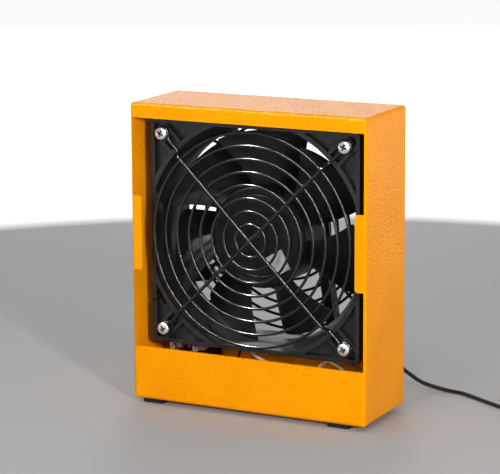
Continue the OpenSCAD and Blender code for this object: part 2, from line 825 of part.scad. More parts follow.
housing_shell();
back_panel();
panel_screws();
rubber_feet();
front_guard_rings();
front_guard_spokes();
rear_guard_rings();
rear_guard_spokes();
front_guard_screws();
rear_guard_screws();
fan_frame();
stator_core();
stator_bobbin();
stator_windings();
driver_board();
board_components();
motor_cable();
front_bearing();
rear_bearing();
motor_label();
impeller();
hub_sticker();
rotor_yoke();
rotor_magnet();
rotor_shaft();
shaft_clip();
preload_spring();
switch_body();
switch_rocker();
switch_terminals();
switch_rivets();
spade_connectors();
fan_lead_white();
fan_lead_black();
feed_wire_red();
feed_wire_black();
splice_cap();
strain_relief();
power_lead();
lead_coil();
coil_tie();
lead_tail();
plug_body();
plug_barrel();
plug_insulator();
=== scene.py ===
import json
import math

import bmesh
import bpy
import numpy as np
from mathutils import Matrix, Vector

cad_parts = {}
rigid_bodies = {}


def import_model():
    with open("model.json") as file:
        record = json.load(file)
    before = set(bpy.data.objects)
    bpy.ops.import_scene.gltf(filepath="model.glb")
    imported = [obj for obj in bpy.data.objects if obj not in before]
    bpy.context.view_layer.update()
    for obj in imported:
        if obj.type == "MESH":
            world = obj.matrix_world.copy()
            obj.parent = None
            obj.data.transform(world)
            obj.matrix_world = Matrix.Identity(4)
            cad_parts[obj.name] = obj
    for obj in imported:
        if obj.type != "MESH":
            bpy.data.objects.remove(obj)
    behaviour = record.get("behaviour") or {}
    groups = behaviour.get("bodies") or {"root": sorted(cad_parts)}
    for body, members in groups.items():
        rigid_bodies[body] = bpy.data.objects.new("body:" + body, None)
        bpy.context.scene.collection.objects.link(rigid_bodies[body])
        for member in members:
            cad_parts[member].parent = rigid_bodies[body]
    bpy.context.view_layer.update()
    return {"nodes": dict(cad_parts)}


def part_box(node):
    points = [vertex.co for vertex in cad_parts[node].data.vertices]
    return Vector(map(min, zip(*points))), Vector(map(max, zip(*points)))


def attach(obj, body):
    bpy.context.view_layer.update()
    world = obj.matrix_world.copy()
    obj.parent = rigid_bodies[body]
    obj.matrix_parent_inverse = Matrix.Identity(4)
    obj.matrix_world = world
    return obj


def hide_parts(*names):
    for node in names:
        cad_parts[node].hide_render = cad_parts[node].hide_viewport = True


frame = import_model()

MM = 0.001
NODES = frame["nodes"]


def corner(node, side):
    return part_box(node)[side] / MM


# ------------------------------------------------------------------ measures, in millimetres

FRONT_Y = corner("housing_shell", 0).y
BACK_Y = corner("housing_shell", 1).y
FAN_FRONT = corner("fan_frame", 0).y
FAN_BACK = corner("fan_frame", 1).y
AXIS_Z = (corner("fan_frame", 0).z + corner("fan_frame", 1).z) / 2
SWITCH_X = (corner("switch_body", 0).x + corner("switch_body", 1).x) / 2
SWITCH_Z = (corner("switch_body", 0).z + corner("switch_body", 1).z) / 2
OUTLET_X = (corner("strain_relief", 0).x + corner("strain_relief", 1).x) / 2
PITCH = 105.0  # between the fan's mounting holes
LEAD_D = 2.2
RELIEF_L = 20.0


# ------------------------------------------------------------------ camera

CAMERA_AT = (512.0, -1031.7 - (-25 - FRONT_Y), 331.5)
CAMERA_TURN = (26.84, 11.77, -0.32)  # azimuth, elevation and roll in degrees
LENS = 161.7


def place_camera():
    az, el, roll = (math.radians(a) for a in CAMERA_TURN)
    back = Vector((math.sin(az) * math.cos(el), -math.cos(az) * math.cos(el), math.sin(el)))
    right = (-back).cross(Vector((0, 0, 1))).normalized()
    up = right.cross(-back)
    r = right * math.cos(roll) + up * math.sin(roll)
    u = -right * math.sin(roll) + up * math.cos(roll)
    data = bpy.data.cameras.new("camera")
    data.sensor_width = 36.0
    data.lens = LENS
    data.clip_start, data.clip_end = 0.05, 20.0
    cam = bpy.data.objects.new("camera", data)
    bpy.context.scene.collection.objects.link(cam)
    turn = Matrix((r, u, back)).transposed().to_4x4()
    cam.matrix_world = Matrix.Translation(Vector(CAMERA_AT) * MM) @ turn
    bpy.context.scene.camera = cam


place_camera()


# ------------------------------------------------------------------ mesh tools

def make(name, verts, faces, material, body, smooth=30.0):
    """A mesh object from points in millimetres."""
    mesh = bpy.data.meshes.new(name)
    mesh.from_pydata([tuple(c * MM for c in v) for v in verts], [], [tuple(f) for f in faces])
    mesh.update()
    obj = bpy.data.objects.new(name, mesh)
    bpy.context.scene.collection.objects.link(obj)
    if smooth is not None:
        shade(obj, smooth)
    if material is not None:
        mesh.materials.append(material)
    if body:
        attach(obj, body)
    return obj


def shade(obj, angle):
    """Smooth shading, with edges sharper than angle kept sharp."""
    mesh = obj.data
    mesh.polygons.foreach_set("use_smooth", [True] * len(mesh.polygons))
    bm = bmesh.new()
    bm.from_mesh(mesh)
    limit = math.radians(angle)
    for e in bm.edges:
        e.smooth = len(e.link_faces) != 2 or e.calc_face_angle(0.0) <= limit
    bm.to_mesh(mesh)
    bm.free()


class Shell:
    """Gathers several pieces of surface into one mesh."""

    def __init__(self):
        self.verts, self.faces, self.looks = [], [], []

    def add(self, verts, faces, looks=None):
        base = len(self.verts)
        self.looks.extend(looks if looks is not None else [0] * len(faces))
        self.verts.extend(tuple(map(float, v)) for v in verts)
        self.faces.extend(tuple(base + i for i in f) for f in faces)

    def loops(self, loops, closed=False):
        """A skin over loops that all have the same number of points."""
        n, m = len(loops[0]), len(loops)
        verts = [p for loop in loops for p in loop]
        faces = []
        for i in range(m if closed else m - 1):
            for j in range(n):
                a, b = i * n + j, i * n + (j + 1) % n
                c, d = ((i + 1) % m) * n + (j + 1) % n, ((i + 1) % m) * n + j
                faces.append((a, b, c, d))
        if not closed:
            faces.append(tuple(range(n))[::-1])
            faces.append(tuple((m - 1) * n + j for j in range(n)))
        self.add(verts, faces)

    def lathe(self, profile, at=(0, 0, 0), frame_=None, steps=64, closed=False):
        """A profile of (radius, height) turned about local z."""
        f = frame_ or Matrix.Identity(3)
        loops = []
        for k in range(steps):
            a = 2 * math.pi * k / steps
            loops.append([Vector(at) + f @ Vector((r * math.cos(a), r * math.sin(a), z)) for r, z in profile])
        n = len(profile)
        verts = [p for loop in loops for p in loop]
        faces = []
        for k in range(steps):
            for j in range(n if closed else n - 1):
                a, b = k * n + j, k * n + (j + 1) % n
                c, d = ((k + 1) % steps) * n + (j + 1) % n, ((k + 1) % steps) * n + j
                faces.append((a, d, c, b))
        self.add(verts, faces)
        return self

    def tube(self, line, radius, sides=12, closed=False):
        """A round bar along a line."""
        self.loops(ring_loops(line, radius, sides, closed), closed=closed)
        return self

    def object(self, name, material, body, smooth=30.0, weld=True):
        """The gathered surface as one mesh object. With a list of materials, looks picks between them."""
        materials = material if isinstance(material, (list, tuple)) else [material]
        obj = make(name, self.verts, self.faces, materials[0], body, None)
        for extra in materials[1:]:
            obj.data.materials.append(extra)
        obj.data.polygons.foreach_set("material_index", self.looks)
        bm = bmesh.new()
        bm.from_mesh(obj.data)
        if weld:
            bmesh.ops.remove_doubles(bm, verts=bm.verts, dist=1e-6)
        bmesh.ops.recalc_face_normals(bm, faces=bm.faces)
        bm.to_mesh(obj.data)
        bm.free()
        shade(obj, smooth)
        return obj


def ring_loops(line, radius, sides, closed):
    """Circles along a line, carried along it without twisting."""
    pts = np.array(line, float)
    m = len(pts)
    if closed:
        tang = np.roll(pts, -1, 0) - np.roll(pts, 1, 0)
    else:
        tang = np.gradient(pts, axis=0)
    tang /= np.linalg.norm(tang, axis=1)[:, None]
    radii = np.broadcast_to(np.asarray(radius, float), (m,))
    side = np.cross(tang[0], [0, 0, 1.0])
    if np.linalg.norm(side) < 0.1:
        side = np.cross(tang[0], [1.0, 0, 0])
    side /= np.linalg.norm(side)
    loops = []
    for i in range(m):
        side = side - tang[i] * side.dot(tang[i])
        side /= np.linalg.norm(side)
        up = np.cross(side, tang[i])
        loops.append([
            tuple(pts[i] + radii[i] * (math.cos(a) * side + math.sin(a) * up))
            for a in (2 * math.pi * k / sides for k in range(sides))
        ])
    return loops


def smooth_line(route, step):
    """A Catmull-Rom line through the route, resampled every step millimetres."""
    p = np.array(route, float)
    ext = np.vstack([2 * p[0] - p[1], p, 2 * p[-1] - p[-2]])
    fine = []
    for i in range(1, len(ext) - 2):
        for t in np.linspace(0, 1, 24, endpoint=False):
            a, b, c, d = ext[i - 1:i + 3]
            fine.append(0.5 * (2 * b + t * (c - a) + t * t * (2 * a - 5 * b + 4 * c - d)
                               + t ** 3 * (3 * b - a - 3 * c + d)))
    fine.append(p[-1])
    return resample(np.array(fine), step)


def resample(fine, step):
    """The same line with its points evenly apart."""
    seg = np.linalg.norm(np.diff(fine, axis=0), axis=1)
    s = np.concatenate([[0], np.cumsum(seg)])
    n = max(2, int(round(s[-1] / step)) + 1)
    at = np.linspace(0, s[-1], n)
    return np.stack([np.interp(at, s, fine[:, k]) for k in range(3)], 1)


# Turns that take local z to the front of the body, towards -Y, and to its back.
TO_FRONT = Matrix(((1, 0, 0), (0, 0, -1), (0, 1, 0)))
TO_BACK = Matrix(((1, 0, 0), (0, 0, 1), (0, -1, 0)))


# ------------------------------------------------------------------ materials

def nodes_of(name):
    """A new material, its node tree and its shader."""
    m = bpy.data.materials.new(name)
    m.use_nodes = True
    t = m.node_tree
    return m, t, t.nodes["Principled BSDF"]


def coords(t):
    return t.nodes.new("ShaderNodeTexCoord").outputs["Object"]


def noise(t, scale, detail=2.0, rough=0.5, source=None, distortion=0.0):
    n = t.nodes.new("ShaderNodeTexNoise")
    n.inputs["Scale"].default_value = scale
    n.inputs["Detail"].default_value = detail
    n.inputs["Roughness"].default_value = rough
    n.inputs["Distortion"].default_value = distortion
    t.links.new(source if source is not None else coords(t), n.inputs["Vector"])
    return n.outputs["Fac"]


def cells(t, scale, source):
    """Rounded cells, close together."""
    n = t.nodes.new("ShaderNodeTexVoronoi")
    n.feature = "SMOOTH_F1"
    n.inputs["Scale"].default_value = scale
    t.links.new(source, n.inputs["Vector"])
    return n.outputs["Distance"]


def ramp(t, fac, stops):
    """Colours at places from 0 to 1, blended between them."""
    n = t.nodes.new("ShaderNodeValToRGB")
    while len(n.color_ramp.elements) < len(stops):
        n.color_ramp.elements.new(0.5)
    for e, (pos, col) in zip(n.color_ramp.elements, stops):
        e.position = pos
        e.color = (*col, 1.0)
    t.links.new(fac, n.inputs["Fac"])
    return n.outputs["Color"]


def span(t, fac, lo, hi, a=0.0, b=1.0):
    """Takes a value from the range a to b to the range lo to hi."""
    n = t.nodes.new("ShaderNodeMapRange")
    n.inputs["From Min"].default_value = a
    n.inputs["From Max"].default_value = b
    n.inputs["To Min"].default_value = lo
    n.inputs["To Max"].default_value = hi
    t.links.new(fac, n.inputs["Value"])
    return n.outputs["Result"]


def math_node(t, op, a, b):
    n = t.nodes.new("ShaderNodeMath")
    n.operation = op
    for i, v in enumerate((a, b)):
        if isinstance(v, (int, float)):
            n.inputs[i].default_value = v
        else:
            t.links.new(v, n.inputs[i])
    return n.outputs[0]


def bump(t, shader, height, strength, distance, under=None):
    """A bump from a height, on the shader if there is one, over the bump under it if there is one."""
    n = t.nodes.new("ShaderNodeBump")
    n.inputs["Strength"].default_value = strength
    n.inputs["Distance"].default_value = distance
    t.links.new(height, n.inputs["Height"])
    if under is not None:
        t.links.new(under, n.inputs["Normal"])
    if shader is not None:
        t.links.new(n.outputs["Normal"], shader.inputs["Normal"])
    return n.outputs["Normal"]


def shades(color, vary):
    """A darker and a lighter shade of a colour."""
    return tuple(c * (1 - vary) for c in color), tuple(min(1.0, c * (1 + vary)) for c in color)


ROUGH_SPREAD = 0.08


def plain(name, color, rough, metallic=0.0, vary=0.06, grain=900.0, depth=0.02, gloss=0.5):
    """Moulded plastic, rubber or bare metal: colour and gloss that vary a little, over a fine grain."""
    m, t, s = nodes_of(name)
    lo, hi = shades(color, vary)
    t.links.new(ramp(t, noise(t, 45.0, 3.0), [(0.3, lo), (0.7, hi)]), s.inputs["Base Color"])
    fine = noise(t, grain, 3.0, 0.6)
    t.links.new(span(t, fine, max(0.02, rough - ROUGH_SPREAD), min(1.0, rough + ROUGH_SPREAD)),
                s.inputs["Roughness"])
    s.inputs["Metallic"].default_value = metallic
    s.inputs["Specular IOR Level"].default_value = gloss
    bump(t, s, fine, 0.35, depth * MM)
    return m


def powder_coat():
    """Orange powder coat: an even colour over a close orange-peel skin of about a millimetre."""
    m, t, s = nodes_of("powder_coat")
    src = coords(t)
    peel = cells(t, 900.0, src)
    grain = noise(t, 1900.0, 3.0, 0.6, src)
    broad = noise(t, 30.0, 3.0, 0.5, src)
    tone = math_node(t, "ADD", math_node(t, "MULTIPLY", grain, 0.45), math_node(t, "MULTIPLY", broad, 0.55))
    t.links.new(ramp(t, tone, [(0.36, (0.88, 0.292, 0.001)), (0.64, (0.97, 0.342, 0.002))]),
                s.inputs["Base Color"])
    t.links.new(span(t, grain, 0.18, 0.36), s.inputs["Roughness"])
    s.inputs["Specular IOR Level"].default_value = 0.09
    s.inputs["Specular Tint"].default_value = (1.0, 0.62, 0.10, 1)
    skin = bump(t, None, peel, 1.0, 0.38 * MM)
    bump(t, s, grain, 0.6, 0.08 * MM, skin)
    return m


def moulded(name, color, rough, flow=0.25, gloss=0.5):
    """Black moulded plastic with faint flow marks in its gloss and a fine spark texture."""
    m, t, s = nodes_of(name)
    lo, hi = shades(color, 0.2)
    marks = noise(t, 60.0, 4.0, 0.55, None, 1.2)
    t.links.new(ramp(t, marks, [(0.3, lo), (0.75, hi)]), s.inputs["Base Color"])
    t.links.new(span(t, marks, rough - flow * 0.4, rough + flow * 0.4), s.inputs["Roughness"])
    s.inputs["Specular IOR Level"].default_value = gloss
    fine = noise(t, 2200.0, 2.0, 0.6)
    bump(t, s, fine, 0.3, 0.02 * MM)
    return m


def enamelled():
    """Enamelled copper, its tone varying at random between a darker and a lighter shade."""
    m, t, s = nodes_of("copper_wire")
    t.links.new(ramp(t, noise(t, 260.0, 4.0), [(0.3, (0.42, 0.12, 0.035)), (0.7, (0.80, 0.32, 0.12))]),
                s.inputs["Base Color"])
    s.inputs["Metallic"].default_value = 1.0
    s.inputs["Roughness"].default_value = 0.28
    s.inputs["Coat Weight"].default_value = 0.4
    return m


def laminated():
    """Punched steel sheets stacked along the fan's axis."""
    m, t, s = nodes_of("core_steel")
    wave = t.nodes.new("ShaderNodeTexWave")
    wave.bands_direction = "Y"
    wave.inputs["Scale"].default_value = 320.0
    t.links.new(coords(t), wave.inputs["Vector"])
    t.links.new(ramp(t, wave.outputs["Fac"], [(0.2, (0.24, 0.24, 0.25)), (0.6, (0.5, 0.5, 0.51))]),
                s.inputs["Base Color"])
    s.inputs["Metallic"].default_value = 1.0
    s.inputs["Roughness"].default_value = 0.38
    bump(t, s, wave.outputs["Fac"], 0.5, 0.05 * MM)
    return m


M = {
    "powder": powder_coat(),
    "fan": moulded("fan_plastic", (0.0125, 0.0125, 0.0125), 0.42, 0.25, 0.36),
    "blade": moulded("blade_plastic", (0.0085, 0.0085, 0.009), 0.40, 0.12, 0.12),
    "wire": plain("guard_wire_coat", (0.004, 0.004, 0.004), 0.2, vary=0.2, grain=1500.0, depth=0.01,
                  gloss=0.55),
    "screw": plain("bright_screw", (0.93, 0.93, 0.92), 0.26, 1.0, vary=0.04, grain=1800.0, depth=0.02),
    # painted shade: near-black metal for the cross recess, standing in for the shade inside it; the real
    # recess has the same bright plating as the head
    "recess": plain("screw_recess", (0.05, 0.05, 0.05), 0.5, 0.6, vary=0.3, grain=1800.0, depth=0.02),
    "rubber": plain("foot_rubber", (0.012, 0.012, 0.012), 0.75, vary=0.2, grain=1100.0, depth=0.05),
    "steel": laminated(),
    "polished": plain("ground_steel", (0.72, 0.72, 0.73), 0.16, 1.0, depth=0.005),
    "bobbin": plain("bobbin_plastic", (0.74, 0.70, 0.56), 0.5),
    "copper": enamelled(),
    "board": plain("solder_mask", (0.012, 0.09, 0.035), 0.3, vary=0.15),
    "black": moulded("black_plastic", (0.013, 0.013, 0.013), 0.42),
    "gloss_black": plain("rocker_plastic", (0.011, 0.011, 0.011), 0.22, vary=0.15, depth=0.01),
    "label": plain("label_foil", (0.55, 0.55, 0.56), 0.4, vary=0.05, depth=0.01),
    "sticker": plain("sticker_paper", (0.36, 0.36, 0.37), 0.5, vary=0.2, grain=700.0, depth=0.01),
    "yoke": plain("yoke_steel", (0.3, 0.3, 0.31), 0.35, 1.0),
    "magnet": plain("magnet_ferrite", (0.05, 0.05, 0.05), 0.55, vary=0.2),
    "tin": plain("tinned_brass", (0.80, 0.78, 0.74), 0.42, 0.55, depth=0.01),
    "brass": plain("bare_brass", (0.80, 0.55, 0.20), 0.26, 0.8, vary=0.12),
    "white_wire": plain("white_vinyl", (0.86, 0.84, 0.81), 0.35, vary=0.05),
    "black_wire": plain("black_vinyl", (0.010, 0.010, 0.011), 0.35, vary=0.2),
    "red_wire": plain("red_vinyl", (0.42, 0.012, 0.009), 0.35, vary=0.12),
    "nylon": plain("nylon", (0.72, 0.70, 0.62), 0.45, vary=0.06),
    "jacket": plain("lead_jacket", (0.012, 0.012, 0.0125), 0.34, vary=0.2, grain=1500.0, depth=0.02),
    "plug": plain("plug_plastic", (0.013, 0.013, 0.013), 0.3, vary=0.15),
    "nickel": plain("nickel_plate", (0.78, 0.78, 0.76), 0.18, 1.0, depth=0.005),
    "mark": plain("mark_paint", (0.72, 0.72, 0.70), 0.45, vary=0.05),
}

LOOKS = {
    "housing_shell": "powder", "back_panel": "powder", "panel_screws": "screw", "rubber_feet": "rubber",
    "front_guard_rings": "wire", "front_guard_spokes": "wire", "rear_guard_rings": "wire",
    "rear_guard_spokes": "wire", "front_guard_screws": "screw", "rear_guard_screws": "screw",
    "fan_frame": "fan", "stator_core": "steel", "stator_bobbin": "bobbin", "stator_windings": "copper",
    "driver_board": "board", "board_components": "black", "motor_cable": "black_wire",
    "front_bearing": "polished", "rear_bearing": "polished", "motor_label": "label",
    "impeller": "blade", "hub_sticker": "sticker", "rotor_yoke": "yoke", "rotor_magnet": "magnet",
    "rotor_shaft": "polished", "shaft_clip": "black", "preload_spring": "polished",
    "switch_body": "black", "switch_rocker": "gloss_black", "switch_terminals": "tin",
    "switch_rivets": "brass", "spade_connectors": "tin", "fan_lead_white": "white_wire",
    "fan_lead_black": "black_wire", "feed_wire_red": "red_wire", "feed_wire_black": "black_wire",
    "splice_cap": "nylon", "strain_relief": "jacket", "power_lead": "jacket", "lead_coil": "jacket",
    "coil_tie": "black", "lead_tail": "jacket", "plug_body": "plug", "plug_barrel": "nickel",
    "plug_insulator": "black",
}
for node, look in LOOKS.items():
    obj = NODES[node]
    obj.data.materials.clear()
    obj.data.materials.append(M[look])


def ease(obj, width, segments, angle):
    """Breaks the sharp edges of an object by a small radius."""
    mod = obj.modifiers.new("edges", "BEVEL")
    mod.width = width * MM
    mod.segments = segments
    mod.limit_method = "ANGLE"
    mod.angle_limit = math.radians(angle)
    mod.use_clamp_overlap = True
    mod.harden_normals = True


# ------------------------------------------------------------------ power lead

LEAD = [
    (50, 34, 21), (50, 42.5, 21), (50.5, 48.5, 19.5), (51.5, 52.5, 16.5), (53.5, 55, 12.5),
    (57, 57.5, 9), (62, 60, 5), (69.5, 62.5, 2.2), (78.5, 62.5, 1.1), (87, 60.5, 1.1),
    (99, 53.5, 1.1), (113.5, 45, 1.1), (122, 40, 1.1), (131, 34.8, 1.1),
]
TAIL = [
    (138.4, 32.8, 7.7), (143, 32.9, 7.4), (148, 33.4, 6.6), (153, 35, 5.6), (157.3, 38, 5),
    (159.6, 42.5, 4.8), (160, 46.5, 4.8),
]
COIL = (138.4, 47.5)
COIL_R = 12.5
CHANGE = 0.86  # the part of a turn after which the lead moves over to the next one


def coil_turns():
    """Twelve turns, three columns and four layers, laid inwards and outwards in turn."""
    cols = [COIL_R + LEAD_D, COIL_R, COIL_R - LEAD_D]
    cells = []
    for layer in range(4):
        order = cols if layer % 2 == 0 else cols[::-1]
        cells += [(r, LEAD_D * (0.5 + layer)) for r in order]
    start = math.atan2(LEAD[-1][1] - COIL[1], LEAD[-1][0] - COIL[0])
    end = -math.pi / 2
    turns = len(cells)
    total = 2 * math.pi * turns + (end - start)
    pts = []
    count = 20 * turns
    for i in range(count + 1):
        a = total * i / count
        k = a / (2 * math.pi)
        cell = min(int(k), turns - 1)
        r, z = cells[cell]
        if cell < turns - 1:
            f = max(0.0, (k - cell - CHANGE) / 0.14)
            f = f * f * (3 - 2 * f)
            r += (cells[cell + 1][0] - r) * f
            z += (cells[cell + 1][1] - z) * f
        pts.append((COIL[0] + r * math.cos(start + a), COIL[1] + r * math.sin(start + a), z))
    return pts


def power_lead():
    """The lead from the strain relief through its coil to the plug, and the line it follows."""
    line = np.vstack([smooth_line(LEAD, 2.0)[:-1], np.array(coil_turns())[:-1], smooth_line(TAIL, 2.0)])
    lead = Shell().tube(line, LEAD_D / 2, 12).object("lead", M["jacket"], "housing", 60)
    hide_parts("power_lead", "lead_coil", "lead_tail")
    return lead, line


# ------------------------------------------------------------------ strain relief, plug and tie

def turned(name, profile, at, material, node):
    """A piece turned from a profile of (radius, height), pointing to the back."""
    piece = Shell().lathe(profile, at, TO_BACK, 72).object(name, material, "housing", 35.0)
    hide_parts(node)
    return piece


def arc(cx, cz, r, a0, a1, n=6):
    """Points of an arc in a profile, angles in degrees."""
    return [(cx + r * math.cos(math.radians(a0 + (a1 - a0) * i / n)),
             cz + r * math.sin(math.radians(a0 + (a1 - a0) * i / n))) for i in range(n + 1)]


def strain_relief():
    """A tapered sleeve with rings moulded in it, held in the panel by a flange and a barb."""
    length, root, tip, flange = RELIEF_L, 3.4, LEAD_D / 2 + 0.5, 4.6
    profile = [(0, -3.7), (3.3, -3.7), (3.6, -3.5), (4.35, -1.5), (4.35, -1.25), (2.95, -1.2), (2.95, 0.0)]
    profile += [(flange, 0.0)] + arc(flange - 0.6, 1.2, 0.6, 0, 90) + [(root + 0.3, 1.8)]
    ribs = 7
    step = (length - 3.4) / ribs
    for i in range(ribs):
        z = 2.4 + i * step
        r = root + (tip - root) * (z - 1.8) / (length - 1.8)
        core = max(r - 0.75, LEAD_D / 2 + 0.25)
        profile += [(core, z), (core, z + 0.8), (r - 0.15, z + 0.85), (r, z + 1.05), (r, z + step - 0.2)]
    profile += [(tip, length - 0.5), (tip - 0.25, length), (LEAD_D / 2 + 0.05, length), (0, length - 0.2)]
    at = (OUTLET_X, BACK_Y, SWITCH_Z)
    return turned("strain_relief_sleeve", profile, at, M["jacket"], "strain_relief")


PLUG_X, PLUG_Y, PLUG_Z = 160.0, 44.0, 4.8  # the near end of the grip, on its axis
GRIP_L = 25.0


def plug_grip():
    """The moulded grip of the plug, fluted along its sides, with a tapered neck."""
    stations = [(0.0, 1.6), (0.4, 1.75), (4.0, 2.2), (8.0, 2.75), (9.2, 3.0), (9.4, 3.9), (10.4, 4.5),
                (11.6, 4.75), (23.6, 4.75), (24.6, 4.5), (GRIP_L, 4.1)]
    fine = []
    for (a, ra), (b, rb) in zip(stations[:-1], stations[1:]):
        fine += [(a + (b - a) * k / 4, ra + (rb - ra) * k / 4) for k in range(4)]
    fine.append(stations[-1])
    sides = 96
    loops = []
    for d, r in fine:
        grip = min(1.0, max(0.0, (d - 11.4) / 1.2)) * min(1.0, max(0.0, (23.8 - d) / 1.2))
        loop = []
        for k in range(sides):
            a = 2 * math.pi * k / sides
            dent = 0.32 * grip * (0.5 + 0.5 * math.cos(16 * a)) ** 2
            loop.append((PLUG_X + (r - dent) * math.cos(a), PLUG_Y + d, PLUG_Z - (r - dent) * math.sin(a)))
        loops.append(loop)
    shell = Shell()
    shell.loops(loops)
    piece = shell.object("plug_grip", M["plug"], "housing", 35)
    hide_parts("plug_body")
    return piece


def plug_contact():
    """The nickel sleeve of the plug with its rounded mouth, and the black core inside it."""
    at = (PLUG_X, PLUG_Y + GRIP_L, PLUG_Z)
    sleeve = [(2.0, 0.0), (2.75, 0.0)] + arc(2.375, 9.125, 0.375, 0, 180, 8) + [(2.0, 0.0)]
    core = [(1.25, 0.0), (2.0, 0.0), (2.0, 8.8), (1.8, 9.2), (1.45, 9.2), (1.25, 8.9), (1.25, 0.0)]
    return (turned("plug_sleeve", sleeve, at, M["nickel"], "plug_barrel"),
            turned("plug_core", core, at, M["black"], "plug_insulator"))


def coil_tie():
    """A strap round the coil's turns, with its ratchet head on top."""
    gap = 0.35
    half = 1.5 * LEAD_D + gap
    h = 4 * LEAD_D / 2
    y0, mid = COIL[1] + COIL_R, h + gap
    ring = []
    for cx, cz, a0 in ((1, 1, 0), (-1, 1, 90), (-1, -1, 180), (1, -1, 270)):
        ring += [(cx * (half - 1.2) + 1.2 * math.cos(math.radians(a0 + 15 * k)),
                  cz * (h - 1.2) + 1.2 * math.sin(math.radians(a0 + 15 * k))) for k in range(7)]
    section = [(-1.5, -0.3), (-1.3, -0.35), (1.3, -0.35), (1.5, -0.3), (1.5, 0.3), (1.3, 0.35), (-1.3, 0.35),
               (-1.5, 0.3)]
    loops = []
    n = len(ring)
    for i, (u, w) in enumerate(ring):
        (ua, wa), (ub, wb) = ring[i - 1], ring[(i + 1) % n]
        t = np.array([ub - ua, wb - wa])
        t /= np.linalg.norm(t)
        nrm = np.array([t[1], -t[0]])
        loops.append([(COIL[0] + s, y0 + u + nrm[0] * d, mid + w + nrm[1] * d) for s, d in section])
    shell = Shell()
    shell.loops(loops, closed=True)
    head = [(-2.0, -1.9), (-1.7, -2.2), (1.7, -2.2), (2.0, -1.9), (2.0, 1.9), (1.7, 2.2), (-1.7, 2.2),
            (-2.0, 1.9)]
    top = mid + h
    layers = [(0.0, 0.9), (0.3, 1.0), (2.0, 1.0), (2.3, 0.88)]
    shell.loops([[(COIL[0] + a * k, y0 + b * k, top + d) for a, b in head] for d, k in layers])
    piece = shell.object("tie_strap", M["black"], "housing", 35)
    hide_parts("coil_tie")
    return piece


lead, lead_line = power_lead()
relief = strain_relief()
grip = plug_grip()
sleeve, core = plug_contact()
tie = coil_tie()


# ------------------------------------------------------------------ finger guards

RING_R0, RING_STEP, RINGS = 8.6, 6.85, 8
RING_D, SPOKE_D = 1.6, 1.8
RING_Z = 3.4
SPOKE_Z = RING_Z + (RING_D + SPOKE_D) / 2 - 0.2
KNEE_R, FOOT_R, EYELET_R = 58.0, 61.0, 3.2
CORNER_R = PITCH / math.sqrt(2)


def spoke_line():
    """One crossed wire from eyelet to eyelet, in (along, across, out)."""
    foot = SPOKE_D / 2
    loop = [(CORNER_R + EYELET_R * math.cos(math.radians(a)), EYELET_R * math.sin(math.radians(a)), foot)
            for a in range(502, 214, -12)]
    neck = [(CORNER_R - EYELET_R - 0.3, -1.2, foot), (CORNER_R - EYELET_R - 1.6, -0.35, foot),
            (CORNER_R - EYELET_R - 3.2, 0, foot)]
    shank = [(FOOT_R + 1.2, 0, foot), (FOOT_R + 0.2, 0, foot + 0.22), (FOOT_R - 0.6, 0, foot + 0.95),
             (KNEE_R + 0.6, 0, SPOKE_Z - 0.75), (KNEE_R - 0.2, 0, SPOKE_Z - 0.15), (KNEE_R - 1.4, 0, SPOKE_Z)]
    half = loop + neck + shank + [(r, 0, SPOKE_Z) for r in (50, 30, 10)]
    return smooth_line(half + [(-a, -b, c) for a, b, c in half[::-1]], 0.7)


def guard(name, at, frame_, nodes):
    """A finger guard: rings and two crossed wires, with a weld where each ring meets a wire."""
    shell = Shell()
    dome = [(p * 0.95, q * 0.5) for p, q in arc(0, 0, 1.0, -90, 90, 6)]
    for i in range(RINGS):
        r = RING_R0 + i * RING_STEP
        circle = [(RING_D / 2 * math.cos(a) + r, RING_Z + RING_D / 2 * math.sin(a))
                  for a in (2 * math.pi * k / 12 for k in range(12))]
        shell.lathe(circle, at, frame_, 144, closed=True)
    line = spoke_line()
    for turn in (45.0, 135.0):
        rot = Matrix.Rotation(math.radians(turn), 3, "Z")
        shell.tube([Vector(at) + frame_ @ (rot @ Vector(p)) for p in line], SPOKE_D / 2, 12)
    for i in range(RINGS):
        r = RING_R0 + i * RING_STEP
        for quarter in range(4):
            a = math.radians(45 + 90 * quarter)
            mid = Vector((r * math.cos(a), r * math.sin(a), RING_Z + RING_D / 2 - 0.05))
            shell.lathe(dome, Vector(at) + frame_ @ mid, frame_, 12)
    piece = shell.object(name, M["wire"], "housing", 60, weld=False)
    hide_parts(*nodes)
    return piece


guard("front_guard", (0, FAN_FRONT, AXIS_Z), TO_FRONT, ("front_guard_rings", "front_guard_spokes"))
guard("rear_guard", (0, FAN_BACK, AXIS_Z), TO_BACK, ("rear_guard_rings", "rear_guard_spokes"))


# ------------------------------------------------------------------ impeller

HUB_R, HUB_Z, SKIRT_Z, TIP_R, BLADES = 27.0, 33.0, 9.0, 55.5, 7
EDGE, CHORD_R = 1.3, 56.0
BOW = 0.352  # how far a blade's section bows between its edges
TIP_CORNER = 2.2


def chord_at(r):
    """Turn and height of a blade's leading and trailing edge at a radius."""
    s = (r - HUB_R) / (CHORD_R - HUB_R)
    return -1 + 14.5 * s, -39.8 + 6.8 * s, 27 + 5.5 * s, 12.0


